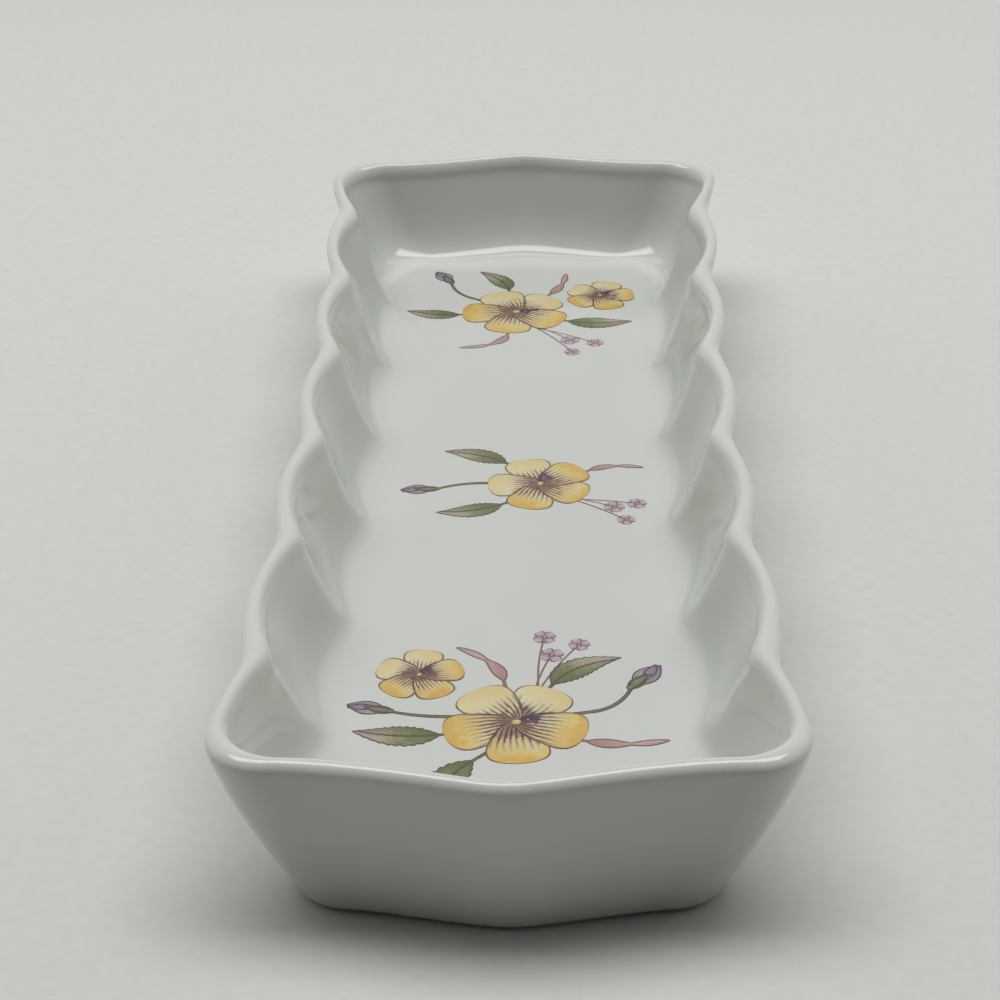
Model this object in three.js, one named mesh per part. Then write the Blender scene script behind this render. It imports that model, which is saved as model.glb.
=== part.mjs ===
// A long glazed porcelain tray with fluted sides and bracket-shaped ends, and flower sprays
// printed in enamel on its floor. Millimetres, +Z up: X is the width, Y the length, and the
// origin lies under the tray's middle, on the plane that it stands on.
import * as THREE from "three";

// Rim
const trayHeight = 29.5;
const rimLength = 262.4; // between the points of the two ends
const rimWidth = 90; // across the corner lobes
const rimThickness = 3.4;
const rimRollDepth = 3.6; // how far the rim's inside rolls down before the wall starts
const rimWaist = 3.2; // how far each long side draws in at its middle
const lobesPerSide = 5; // between the two corner lobes
const outerFluteDepth = 2.0; // from the crown of a lobe to the cusp beside it
const innerFluteDepth = 3.4;
const outerCuspSoftness = 0.5; // 0 is a knife edge, and the cast and its glaze round it
const innerCuspSoftness = 0.22;
const bracketDepth = 5.8; // how far the point of an end stands out from its shoulders
const bracketPower = 1.6; // how hollow the flanks of that point are
const pointSoftness = 4.5;
const cornerWidth = 10; // a corner lobe's quarter curve, across and along
const cornerLength = 9.4;

// Outside wall and foot
const wallFlareSide = 11.4; // from the rim in to the foot
const wallFlareEnd = 2.9;
const wallCurve = 1.3; // 1 is a straight flare, and more turns the wall under like a bowl
const footFluteDepth = 1.4;
const footWaist = 1.8;
const footBracketDepth = 4.2;
const footBracketPower = 1.15;
const footCorner = 9;
const footEdgeRadius = 1.8;
const footRimWidth = 4.2;
const footRecess = 3.4; // the underside lies this far above the foot rim
const recessDraft = 0.8;

// Well
const floorThickness = 5;
const wellRunSide = 10.4; // from the rim's inner edge in to the flat floor, wall and cove
const wellRunEnd = 8.5;
const wellLean = 0.28; // share of that run that the upper half of the wall leans in
const coveStart = 0.5; // share of that run where the cove turns on to the floor
const floorFluteDepth = 2.6;
const floorWaist = 2.2;
const floorBracketDepth = 2.5;
const floorCorner = 12;

// Printed sprays, laid out in shares of the room across the floor
const enamelThickness = 0.1;
const printMargin = 1.8; // bare glaze between a spray and the cusps of the flat floor's edge
const sprayReach = 0.92; // half a spray's length along the tray, in the same shares
const sprayEndGap = 4.5; // bare floor between an end spray and the end of the flat floor
const stemWidth = 0.9;
const strapKnee = 0.5; // where along its length a leaf or stem bends
const bluntTip = 0.15; // half the width that a printed leaf keeps at its ends
const growthGap = 0.02; // between a bloom's petals and what grows from under them
const budGap = 0.015; // between a stem's tip and its bud
const bloomPetals = 5;
const bloomNotch = 0.34; // depth of the notch between two petals, as a share of the radius
const floretPetals = 4;
const floretNotch = 0.4;
const leafFullness = 0.17; // half a leaf's width, as a share of its length
const ribbonFullness = 0.065;
const budFullness = 0.24;
const leafFullestAt = 0.42; // where along its length a leaf is widest
const ribbonFullestAt = 0.36;
const budFullestAt = 0.45;

// Colours
const glazeColour = 0xe0e2de;
const yellowEnamel = 0xdcb96a;
const greenEnamel = 0x8b8f68;
const oliveEnamel = 0x86805c;
const pinkEnamel = 0xbd9a94;
const violetEnamel = 0x7d7078;
const lilacEnamel = 0xb59aa8;

// Steps of the faceted surfaces
const sideSteps = 18; // from the middle of a side to its corner lobe
const cornerSteps = 5;
const endSteps = 8; // from a corner to the point
const wallSteps = 7;
const lipSteps = 6;
const wellSteps = 9;
const edgeSteps = 3;
const petalSteps = 8;
const floretSteps = 5;
const strapSteps = 8;

// Each section is the plan outline of the body at one height.
const rimOuter = {
  halfWidth: rimWidth / 2,
  shoulder: rimLength / 2 - bracketDepth,
  waist: rimWaist,
  flute: outerFluteDepth,
  softness: outerCuspSoftness,
  bracket: bracketDepth,
  bracketPower,
  cornerWidth,
  cornerLength,
};

const rimInner = {
  ...insetSection(rimOuter, rimThickness, rimThickness),
  flute: innerFluteDepth,
  softness: innerCuspSoftness,
};

const footOuter = {
  ...insetSection(rimOuter, wallFlareSide, wallFlareEnd),
  waist: footWaist,
  flute: footFluteDepth,
  bracket: footBracketDepth,
  bracketPower: footBracketPower,
  cornerWidth: footCorner,
  cornerLength: footCorner,
};

const floorEdge = {
  ...insetSection(rimInner, wellRunSide, wellRunEnd),
  waist: floorWaist,
  flute: floorFluteDepth,
  bracket: floorBracketDepth,
  cornerWidth: floorCorner,
  cornerLength: floorCorner,
};

const floorLevel = footRecess + floorThickness;
const lipRadius = rimThickness / 2;
const lipBase = trayHeight - lipRadius;
const wellTop = trayHeight - rimRollDepth;

function insetSection(section, sides, ends) {
  return {
    ...section,
    halfWidth: section.halfWidth - sides,
    shoulder: section.shoulder - ends,
  };
}

function blendSections(from, to, share) {
  const blended = {};
  for (const key of Object.keys(from)) {
    blended[key] = THREE.MathUtils.lerp(from[key], to[key], share);
  }
  return blended;
}

// 0 on the crown of a lobe and 1 on the cusp between two lobes, where round lobes meet.
function cuspShare(lobePosition, softness) {
  const fromCrown = 2 * Math.abs(lobePosition - Math.round(lobePosition));
  const softened = (rise) => Math.hypot(rise, softness) - softness;
  return 1 - softened(1 - fromCrown ** 2) / softened(1);
}

// A point of the side, from its middle at share 0 to the crown of its corner lobe at share 1.
function sidePoint(section, share) {
  const lobePosition = ((share + 1) / 2) * (lobesPerSide + 1);
  const cusp = cuspShare(lobePosition, section.softness);
  const drawnIn = section.waist * (1 - share ** 2) + section.flute * cusp;
  const cornerCrown = section.shoulder - section.cornerLength;
  return new THREE.Vector2(section.halfWidth - drawnIn, share * cornerCrown);
}

function cornerPoint(section, share) {
  const turn = (share * Math.PI) / 2;
  return new THREE.Vector2(
    section.halfWidth - section.cornerWidth * (1 - Math.cos(turn)),
    section.shoulder - section.cornerLength * (1 - Math.sin(turn)),
  );
}

// A point of the end, from its shoulder at share 0 to the bracket's point at share 1.
function endPoint(section, share) {
  const softSpan = (x) => Math.hypot(x, pointSoftness) - pointSoftness;
  const shoulderX = section.halfWidth - section.cornerWidth;
  const x = shoulderX * (1 - share);
  const rise = (1 - softSpan(x) / softSpan(shoulderX)) ** section.bracketPower;
  return new THREE.Vector2(x, section.shoulder + section.bracket * rise);
}

// One quarter of the outline, from the middle of the +X side to the point of the +Y end.
function quarterOutline(section) {
  const points = [];
  for (let i = 0; i < sideSteps; i += 1) {
    points.push(sidePoint(section, i / sideSteps));
  }
  for (let i = 0; i < cornerSteps; i += 1) {
    points.push(cornerPoint(section, i / cornerSteps));
  }
  for (let i = 0; i <= endSteps; i += 1) {
    points.push(endPoint(section, i / endSteps));
  }
  return points;
}

// The whole outline, anticlockwise from above: the quarter and its three mirror images.
function sectionOutline(section) {
  const quarter = quarterOutline(section);
  const forward = quarter.slice(0, -1);
  const backward = quarter.slice(1).reverse();
  const mirrored = (points, x, y) => points.map((p) => new THREE.Vector2(x * p.x, y * p.y));
  return [
    ...forward,
    ...mirrored(backward, -1, 1),
    ...mirrored(forward, -1, -1),
    ...mirrored(backward, 1, -1),
  ];
}

function footRings() {
  const rimIn = insetSection(footOuter, footRimWidth, footRimWidth);
  const recessIn = insetSection(rimIn, recessDraft, recessDraft);
  const rings = [
    { section: recessIn, z: footRecess },
    { section: rimIn, z: 0 },
  ];
  for (let i = 0; i <= edgeSteps; i += 1) {
    const turn = (i / edgeSteps) * (Math.PI / 2);
    const edgeInset = footEdgeRadius * (1 - Math.sin(turn));
    rings.push({
      section: insetSection(footOuter, edgeInset, edgeInset),
      z: footEdgeRadius * (1 - Math.cos(turn)),
    });
  }
  return rings;
}

function wallRings() {
  const rings = [];
  for (let i = 1; i < wallSteps; i += 1) {
    const rise = i / wallSteps;
    rings.push({
      section: blendSections(rimOuter, footOuter, (1 - rise) ** wallCurve),
      z: THREE.MathUtils.lerp(footEdgeRadius, lipBase, rise),
    });
  }
  return rings;
}

// Outside, the rim is a round roll. Inside, the roll runs further down into the well.
function lipRings() {
  const rings = [];
  for (let i = 0; i <= lipSteps; i += 1) {
    const turn = (i / lipSteps) * Math.PI;
    const rollDepth = turn < Math.PI / 2 ? lipRadius : rimRollDepth;
    rings.push({
      section: blendSections(rimOuter, rimInner, (1 - Math.cos(turn)) / 2),
      z: trayHeight - rollDepth * (1 - Math.sin(turn)),
    });
  }
  return rings;
}

// The well's wall leaves the rim steeply and sweeps through the cove on to the flat floor.
function wellRings() {
  const profile = new THREE.CubicBezierCurve(
    new THREE.Vector2(0, wellTop),
    new THREE.Vector2(wellLean, (wellTop + floorLevel) / 2),
    new THREE.Vector2(coveStart, floorLevel),
    new THREE.Vector2(1, floorLevel),
  );
  return profile
    .getPoints(wellSteps)
    .slice(1)
    .map((point) => ({ section: blendSections(rimInner, floorEdge, point.x), z: point.y }));
}

// A closed skin through the rings, from the middle of the underside round to the floor.
function loftRings(rings) {
  const outlines = rings.map((ring) => sectionOutline(ring.section));
  const perRing = outlines[0].length;
  const positions = outlines.flatMap((outline, r) => outline.flatMap((p) => [p.x, p.y, rings[r].z]));
  const faces = [];
  for (let r = 0; r + 1 < rings.length; r += 1) {
    for (let i = 0; i < perRing; i += 1) {
      const here = r * perRing + i;
      const next = r * perRing + ((i + 1) % perRing);
      faces.push(here, next, next + perRing, here, next + perRing, here + perRing);
    }
  }
  for (const [a, b, c] of THREE.ShapeUtils.triangulateShape(outlines[0], [])) {
    faces.push(a, c, b);
  }
  const floorStart = (rings.length - 1) * perRing;
  for (const [a, b, c] of THREE.ShapeUtils.triangulateShape(outlines.at(-1), [])) {
    faces.push(floorStart + a, floorStart + b, floorStart + c);
  }
  const geometry = new THREE.BufferGeometry();
  geometry.setAttribute("position", new THREE.Float32BufferAttribute(positions, 3));
  geometry.setIndex(faces);
  geometry.computeVertexNormals();
  return geometry;
}

function trayBody() {
  const rings = [...footRings(), ...wallRings(), ...lipRings(), ...wellRings()];
  const glaze = new THREE.MeshStandardMaterial({ color: glazeColour, roughness: 0.12, metalness: 0 });
  const body = new THREE.Mesh(loftRings(rings), glaze);
  body.name = "tray_body";
  return body;
}

// Room for a spray: half the flat floor's width between its cusps, less the bare margin.
const printUnit = floorEdge.halfWidth - floorEdge.flute - printMargin;
const endSprayCentre = floorEdge.shoulder - sprayEndGap - sprayReach * printUnit;

// A rosette of round petals with a notch between each two.
function rosetteOutline(radius, petals, notch, stepsPerPetal) {
  const points = [];
  for (let i = 0; i < petals * stepsPerPetal; i += 1) {
    const inPetal = (i % stepsPerPetal) / stepsPerPetal - 0.5;
    const reach = 1 - notch + notch * Math.sqrt(Math.cos(inPetal * Math.PI));
    const turn = (i / stepsPerPetal) * ((2 * Math.PI) / petals);
    points.push(new THREE.Vector2(radius * reach * Math.cos(turn), radius * reach * Math.sin(turn)));
  }
  return points;
}

// The outline round a bent centre line that leaves the origin along +X.
function strapOutline(length, bend, halfWidthAt) {
  const centreLine = new THREE.QuadraticBezierCurve(
    new THREE.Vector2(0, 0),
    new THREE.Vector2(length * strapKnee, 0),
    new THREE.Vector2(length * Math.cos(bend), length * Math.sin(bend)),
  );
  const left = [];
  const right = [];
  for (let i = 0; i <= strapSteps; i += 1) {
    const along = i / strapSteps;
    const centre = centreLine.getPoint(along);
    const heading = centreLine.getTangent(along);
    const offset = new THREE.Vector2(-heading.y, heading.x).multiplyScalar(halfWidthAt(along));
    left.push(centre.clone().add(offset));
    right.push(centre.clone().sub(offset));
  }
  return [...right, ...left.reverse()];
}

function tapered(halfWidth, fullestAt) {
  const power = Math.log(0.5) / Math.log(fullestAt);
  return (along) => bluntTip + halfWidth * Math.sin(Math.PI * along ** power);
}

// The point at a distance and a bearing, in degrees, from a place on the floor.
function away(from, bearing, distance) {
  const turn = THREE.MathUtils.degToRad(bearing);
  return { x: from.x + distance * Math.cos(turn), y: from.y + distance * Math.sin(turn) };
}

// Where something comes out from under a bloom's petals.
function growthPoint(host, bearing) {
  return away(host, bearing, host.radius + growthGap);
}

// Blooms: name, place and radius in shares of the room, and turn in degrees.
function bloom(name, x, y, turn, radius) {
  const outline = rosetteOutline(radius * printUnit, bloomPetals, bloomNotch, petalSteps);
  return { name, x, y, turn, radius, outline, colour: yellowEnamel };
}

// What grows from a bloom: name, bloom, bearing on it, heading, length in shares, and bend.
function leaf(name, host, bearing, turn, length, bend) {
  const size = length * printUnit;
  const outline = strapOutline(size, bend, tapered(leafFullness * size, leafFullestAt));
  return { name, ...growthPoint(host, bearing), turn, outline, colour: greenEnamel };
}

function ribbon(name, host, bearing, turn, length, bend) {
  const size = length * printUnit;
  const outline = strapOutline(size, bend, tapered(ribbonFullness * size, ribbonFullestAt));
  return { name, ...growthPoint(host, bearing), turn, outline, colour: pinkEnamel };
}

function stem(name, host, bearing, turn, length, bend) {
  const outline = strapOutline(length * printUnit, bend, () => stemWidth / 2);
  return { name, ...growthPoint(host, bearing), turn, length, bend, outline, colour: oliveEnamel };
}

// A bud sits on its stem's tip and nods by some degrees from the stem's last heading.
function bud(name, carrier, nod, length) {
  const { turn, bend } = carrier;
  const tip = away(carrier, turn + THREE.MathUtils.radToDeg(bend), carrier.length);
  const lastBend = Math.atan2(Math.sin(bend), Math.cos(bend) - strapKnee);
  const lastTurn = turn + THREE.MathUtils.radToDeg(lastBend);
  const size = length * printUnit;
  const outline = strapOutline(size, 0, tapered(budFullness * size, budFullestAt));
  return { name, ...away(tip, lastTurn, budGap), turn: lastTurn + nod, outline, colour: violetEnamel };
}

// Florets: name, bloom, bearing and distance from the bloom's middle, and radius.
function floret(name, host, bearing, distance, radius) {
  const outline = rosetteOutline(radius * printUnit, floretPetals, floretNotch, floretSteps);
  return { name, ...away(host, bearing, distance), turn: bearing, outline, colour: lilacEnamel };
}

function frontSpray() {
  const large = bloom("bloom_large", 0.02, 0.04, 20, 0.46);
  const leftStem = stem("stem_left", large, 172, 178, 0.28, -0.15);
  const rightStem = stem("stem_right", large, 14, 12, 0.34, 0.6);
  return [
    large,
    bloom("bloom_small", -0.6, 0.58, 50, 0.3),
    leaf("leaf_left", large, 196, 190, 0.54, -0.25),
    leaf("leaf_low", large, 238, 226, 0.58, 0.3),
    leaf("leaf_upper", large, 62, 64, 0.54, -0.5),
    ribbon("ribbon_upper", large, 100, 100, 0.5, 0.5),
    ribbon("ribbon_right", large, -25, -16, 0.5, 0.3),
    leftStem,
    bud("bud_left", leftStem, 4, 0.3),
    rightStem,
    bud("bud_right", rightStem, -20, 0.34),
    floret("floret_a", large, 74, 0.8, 0.08),
    floret("floret_b", large, 66, 0.98, 0.07),
    floret("floret_c", large, 80, 1.0, 0.075),
  ];
}

function middleSpray() {
  const open = bloom("bloom", 0.16, 0, 75, 0.4);
  const leftStem = stem("stem", open, 178, 180, 0.32, 0.25);
  return [
    open,
    leaf("leaf_upper", open, 128, 140, 0.5, 0.3),
    leaf("leaf_lower", open, 228, 214, 0.48, -0.35),
    leftStem,
    bud("bud", leftStem, -25, 0.28),
    ribbon("ribbon", open, 30, 34, 0.4, -0.5),
    floret("floret_a", open, -34, 0.64, 0.075),
    floret("floret_b", open, -24, 0.76, 0.07),
    floret("floret_c", open, -42, 0.82, 0.065),
  ];
}

function rearSpray() {
  const large = bloom("bloom_large", -0.06, -0.04, 5, 0.46);
  const upperStem = stem("stem_upper", large, 142, 146, 0.36, -0.45);
  return [
    large,
    bloom("bloom_small", 0.66, 0.3, 38, 0.31),
    leaf("leaf_right", large, -24, -18, 0.54, 0.3),
    leaf("leaf_left", large, 186, 186, 0.46, -0.3),
    leaf("leaf_upper", large, 98, 100, 0.48, 0.4),
    ribbon("ribbon_lower", large, 262, 258, 0.46, -0.8),
    ribbon("ribbon_right", large, 52, 56, 0.46, 0.3),
    upperStem,
    bud("bud_upper", upperStem, 20, 0.3),
    floret("floret_a", large, -52, 0.74, 0.08),
    floret("floret_b", large, -44, 0.92, 0.07),
    floret("floret_c", large, -60, 0.94, 0.065),
  ];
}

// Each motif is a thin island of enamel, fired on to the flat floor.
function enamelMotif(sprayName, motif) {
  const shape = new THREE.Shape(motif.outline);
  const geometry = new THREE.ExtrudeGeometry(shape, { depth: enamelThickness, bevelEnabled: false });
  const enamel = new THREE.MeshStandardMaterial({ color: motif.colour, roughness: 0.25, metalness: 0 });
  const mesh = new THREE.Mesh(geometry, enamel);
  mesh.name = `${sprayName}_${motif.name}`;
  mesh.position.set(motif.x * printUnit, motif.y * printUnit, 0);
  mesh.rotation.z = THREE.MathUtils.degToRad(motif.turn);
  return mesh;
}

function spray(name, centreY, motifs) {
  const group = new THREE.Group();
  group.position.set(0, centreY, floorLevel);
  for (const motif of motifs) {
    group.add(enamelMotif(name, motif));
  }
  return group;
}

const tray = new THREE.Group();
tray.add(trayBody());
tray.add(spray("front", -endSprayCentre, frontSpray()));
tray.add(spray("middle", 0, middleSpray()));
tray.add(spray("rear", endSprayCentre, rearSpray()));

export default tray;
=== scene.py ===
# Dresses the porcelain tray: the glazed body, its fired enamel sprays, the table and the light.
import math

import bpy
from mathutils import Matrix, Vector


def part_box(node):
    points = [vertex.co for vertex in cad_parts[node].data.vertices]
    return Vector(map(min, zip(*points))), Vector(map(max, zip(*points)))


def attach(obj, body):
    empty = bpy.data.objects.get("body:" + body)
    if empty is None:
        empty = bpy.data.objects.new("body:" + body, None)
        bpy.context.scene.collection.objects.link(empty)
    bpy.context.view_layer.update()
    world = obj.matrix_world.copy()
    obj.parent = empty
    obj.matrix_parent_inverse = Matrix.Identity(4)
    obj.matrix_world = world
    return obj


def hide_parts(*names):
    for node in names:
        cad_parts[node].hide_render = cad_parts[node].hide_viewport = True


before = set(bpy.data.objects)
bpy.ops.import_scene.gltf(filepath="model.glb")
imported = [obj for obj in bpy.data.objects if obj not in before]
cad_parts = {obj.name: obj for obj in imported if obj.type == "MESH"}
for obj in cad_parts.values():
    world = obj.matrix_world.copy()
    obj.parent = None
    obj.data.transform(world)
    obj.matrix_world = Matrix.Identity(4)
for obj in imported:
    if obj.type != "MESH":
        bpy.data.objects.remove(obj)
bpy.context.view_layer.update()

MM = 0.001
body_low, body_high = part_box("tray_body")

# Sizes of the body in millimetres: the overall ones come from the frame.
TRAY_HEIGHT = body_high.z / MM
RIM_LENGTH = (body_high.y - body_low.y) / MM
RIM_WIDTH = (body_high.x - body_low.x) / MM
RIM_THICKNESS = 3.4
RIM_ROLL_DEPTH = 3.6
RIM_WAIST = 3.2
OUTER_FLUTE_DEPTH = 2.0
INNER_FLUTE_DEPTH = 3.4
BRACKET_DEPTH = 5.8
POINT_SOFTNESS = 4.5
CORNER_WIDTH = 10
CORNER_LENGTH = 9.4
WALL_FLARE_SIDE = 11.4
WALL_FLARE_END = 2.9
FOOT_FLUTE_DEPTH = 1.4
FOOT_WAIST = 1.8
FOOT_BRACKET_DEPTH = 4.2
FOOT_CORNER = 9
FOOT_EDGE_RADIUS = 1.8
FOOT_RIM_WIDTH = 4.2
FOOT_RECESS = 3.4
RECESS_DRAFT = 0.8
FLOOR_THICKNESS = 5
FLOOR_FLUTE_DEPTH = 2.6
FLOOR_WAIST = 2.2
FLOOR_BRACKET_DEPTH = 2.5
FLOOR_CORNER = 12
WELL_RUN_SIDE = 10.4
WELL_RUN_END = 8.5

# The number of lobes, and the powers and shares that give the body's curves their form.
LOBES_PER_SIDE = 5
OUTER_CUSP_SOFTNESS = 0.5
INNER_CUSP_SOFTNESS = 0.22
FLOOR_CUSP_SOFTNESS = 0.5
BRACKET_POWER = 1.6
FOOT_BRACKET_POWER = 1.15
WALL_CURVE = 1.3
WELL_LEAN = 0.28
LEAN_HEIGHT = 0.5
COVE_START = 0.5

# How thick the glaze lies, as a share of its thickest, and how much more of it the crowns of the
# lobes hold than the cusps, at the rim.
RECESS_GLAZE = 0.6
FOOT_GLAZE = 0.7
LIP_GLAZE = 0.25
COVE_GLAZE = 0.8
OUTER_CROWN_GLAZE = -0.3
INNER_CROWN_GLAZE = 0.4

# Steps along half a side, round a corner and along half an end of each outline, and round the edge
# of the foot, up the wall, over the lip and down the well.
SIDE_STEPS = 120
CORNER_STEPS = 16
END_STEPS = 36
EDGE_STEPS = 6
WALL_STEPS = 24
LIP_STEPS = 14
WELL_STEPS = 30

# Sizes of the print in millimetres.
PRINT_MARGIN = 1.8
SPRAY_END_GAP = 4.5
STEM_WIDTH = 0.9
LEAF_STALK_WIDTH = 0.72
FLORET_STALK_WIDTH = 0.36
RIB_WIDTH = 0.28
BLUNT_TIP = 0.15
DOT_TIP = 0.03
ROOT_LENGTH = 5
ROOT_OVERLAP = 0.2
BUD_OVERLAP = 0.7

# Shares that lay out the print: of the room across the floor, and of a stroke or a bloom.
SPRAY_REACH = 0.92
GROWTH_GAP = 0.02
BUD_GAP = 0.015
STROKE_KNEE = 0.5
FLORET_ROOT = 0.8

# The photograph's camera, in millimetres and degrees, fitted to the rim.
CAMERA_PLACE = (7.03, -397.96, 220.76)
CAMERA_PITCH = 28.475
CAMERA_YAW = 1.546
CAMERA_ROLL = -0.96
CAMERA_LENS = 82.8
CAMERA_SENSOR = 36

# The lamp, in metres and watts.
LAMP_PLACE = (-0.04, 0.17, 1.3)
LAMP_WIDTH = 1.7
LAMP_DEPTH = 0.6
LAMP_POWER = 16.3

# The room's light: its colour and levels. The sides light up between two shares of X in a direction,
# and the dim front brightens between two shares of Y.
ROOM_COLOUR = "#F4F6F5"
ROOM_AT_HORIZON = 0.15
ROOM_OVERHEAD = 0.2
ROOM_AT_SIDES = 1.3
SIDE_START = 0.4
SIDE_FULL = 0.9
ROOM_IN_FRONT = 0.0
FRONT_DARK = -0.4
FRONT_LIGHT = 0.3

# The table and the plain backdrop that it fades into: distances from the tray in metres.
PAPER_SHADE = "#CDCDC9"
PAPER_LIGHT = "#D1D1CD"
BACKDROP = "#CACBC7"
FADE_START = 0.3
FADE_END = 0.75
TABLE_REACH = 3.0

# Colours of the porcelain where its glaze lies thin and where it pools, and of the bare clay.
THIN_GLAZE = "#CBCCC8"
POOLED_GLAZE = "#C0C4BE"
USED_CLAY = "#C9C4B9"
CLEAN_CLAY = "#DEDAD0"

# How rough the glaze is where it came out of the kiln smoothest and dullest.
GLOSSIEST = 0.06
DULLEST = 0.11


def linear(hex_colour):
    """An sRGB hex colour as linear red, green, blue and alpha."""
    channels = [int(hex_colour[i:i + 2], 16) / 255 for i in (1, 3, 5)]
    bent = [c / 12.92 if c <= 0.04045 else ((c + 0.055) / 1.055) ** 2.4 for c in channels]
    return (*bent, 1.0)


def add(tree, kind, inputs=None, stops=(), **settings):
    """Adds a node with its settings and colour stops, and links or sets its inputs."""
    node = tree.nodes.new("ShaderNode" + kind)
    for name, value in settings.items():
        setattr(node, name, value)
    for key, value in (inputs or {}).items():
        if isinstance(value, bpy.types.NodeSocket):
            tree.links.new(value, node.inputs[key])
        else:
            node.inputs[key].default_value = value
    for _ in stops[2:]:
        node.color_ramp.elements.new(0.5)
    for i, (position, hex_colour) in enumerate(stops):
        node.color_ramp.elements[i].position = position
        node.color_ramp.elements[i].color = linear(hex_colour)
    return node


def new_material(name):
    """An empty material and its node tree."""
    material = bpy.data.materials.new(name)
    material.use_nodes = True
    material.node_tree.nodes.clear()
    return material, material.node_tree


def link_object(name, mesh, materials):
    """A piece with its mesh and materials, put into the scene."""
    piece = bpy.data.objects.new(name, mesh)
    for material in materials:
        mesh.materials.append(material)
    bpy.context.scene.collection.objects.link(piece)
    return piece


# Plan sections of the body, each an outline at one height: where its sides and ends lie, how deep its
# waist, its lobes and its brackets are, and how its cusps and corners are rounded.
def inset(section, sides, ends):
    """A section drawn in at its sides and ends."""
    changed = dict(section)
    changed["half_width"] -= sides
    changed["shoulder"] -= ends
    return changed


def blend(start, end, share):
    """A section between two others."""
    return {key: start[key] + (end[key] - start[key]) * share for key in start}


RIM_OUTER = {
    "half_width": RIM_WIDTH / 2,
    "shoulder": RIM_LENGTH / 2 - BRACKET_DEPTH,
    "waist": RIM_WAIST,
    "flute": OUTER_FLUTE_DEPTH,
    "softness": OUTER_CUSP_SOFTNESS,
    "bracket": BRACKET_DEPTH,
    "bracket_power": BRACKET_POWER,
    "corner_width": CORNER_WIDTH,
    "corner_length": CORNER_LENGTH,
}
RIM_INNER = {
    **inset(RIM_OUTER, RIM_THICKNESS, RIM_THICKNESS),
    "flute": INNER_FLUTE_DEPTH,
    "softness": INNER_CUSP_SOFTNESS,
}
FOOT_OUTER = {
    **inset(RIM_OUTER, WALL_FLARE_SIDE, WALL_FLARE_END),
    "waist": FOOT_WAIST,
    "flute": FOOT_FLUTE_DEPTH,
    "bracket": FOOT_BRACKET_DEPTH,
    "bracket_power": FOOT_BRACKET_POWER,
    "corner_width": FOOT_CORNER,
    "corner_length": FOOT_CORNER,
}
FLOOR_EDGE = {
    **inset(RIM_INNER, WELL_RUN_SIDE, WELL_RUN_END),
    "waist": FLOOR_WAIST,
    "flute": FLOOR_FLUTE_DEPTH,
    "softness": FLOOR_CUSP_SOFTNESS,
    "bracket": FLOOR_BRACKET_DEPTH,
    "corner_width": FLOOR_CORNER,
    "corner_length": FLOOR_CORNER,
}
FLOOR_LEVEL = FOOT_RECESS + FLOOR_THICKNESS
LIP_RADIUS = RIM_THICKNESS / 2
LIP_BASE = TRAY_HEIGHT - LIP_RADIUS
WELL_TOP = TRAY_HEIGHT - RIM_ROLL_DEPTH


def cusp_share(lobe_position, softness):
    """0 on the crown of a lobe and 1 on the cusp between two lobes."""
    from_crown = 2 * abs(lobe_position - round(lobe_position))
    crown_share = math.hypot(1 - from_crown ** 2, softness) - softness
    return 1 - crown_share / (math.hypot(1, softness) - softness)


def side_point(section, share):
    """Along a lobed side, from its middle to the corner, with the cusp share there."""
    cusp = cusp_share((share + 1) / 2 * (LOBES_PER_SIDE + 1), section["softness"])
    drawn_in = section["waist"] * (1 - share ** 2) + section["flute"] * cusp
    crown = section["shoulder"] - section["corner_length"]
    return section["half_width"] - drawn_in, share * crown, cusp


def corner_point(section, share):
    """Round a corner, from the side to the end."""
    turn = share * math.pi / 2
    x = section["half_width"] - section["corner_width"] * (1 - math.cos(turn))
    y = section["shoulder"] - section["corner_length"] * (1 - math.sin(turn))
    return x, y, 0.0


def end_point(section, share):
    """Along a bracket-shaped end, from the corner to the soft point in its middle."""
    shoulder_x = section["half_width"] - section["corner_width"]
    x = shoulder_x * (1 - share)
    span = math.hypot(x, POINT_SOFTNESS) - POINT_SOFTNESS
    full_span = math.hypot(shoulder_x, POINT_SOFTNESS) - POINT_SOFTNESS
    rise = (1 - span / full_span) ** section["bracket_power"]
    return x, section["shoulder"] + section["bracket"] * rise, 0.0


def outline(section):
    """The whole outline, anticlockwise from above, with the cusp share of each point."""
    quarter = [side_point(section, i / SIDE_STEPS) for i in range(SIDE_STEPS)]
    quarter += [corner_point(section, i / CORNER_STEPS) for i in range(CORNER_STEPS)]
    quarter += [end_point(section, i / END_STEPS) for i in range(END_STEPS + 1)]
    forward, backward = quarter[:-1], quarter[:0:-1]
    turned = [(forward, 1, 1), (backward, -1, 1), (forward, -1, -1), (backward, 1, -1)]
    return [(sx * x, sy * y, cusp) for points, sx, sy in turned for x, y, cusp in points]


# Rings of the body: each has its section, its height, how thick the glaze lies, and how much more
# of it lies on the crowns of the lobes than on the cusps.
def foot_rings():
    """From the roof of the recess down to the foot rim, and round the edge outside it."""
    rim_inside = inset(FOOT_OUTER, FOOT_RIM_WIDTH, FOOT_RIM_WIDTH)
    recess = inset(rim_inside, RECESS_DRAFT, RECESS_DRAFT)
    rings = [(recess, FOOT_RECESS, RECESS_GLAZE, 0), (rim_inside, 0, 0, 0)]
    for i in range(EDGE_STEPS + 1):
        turn = i / EDGE_STEPS * math.pi / 2
        run = FOOT_EDGE_RADIUS * (1 - math.sin(turn))
        rise = FOOT_EDGE_RADIUS * (1 - math.cos(turn))
        rings.append((inset(FOOT_OUTER, run, run), rise, FOOT_GLAZE, 0))
    return rings


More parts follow.
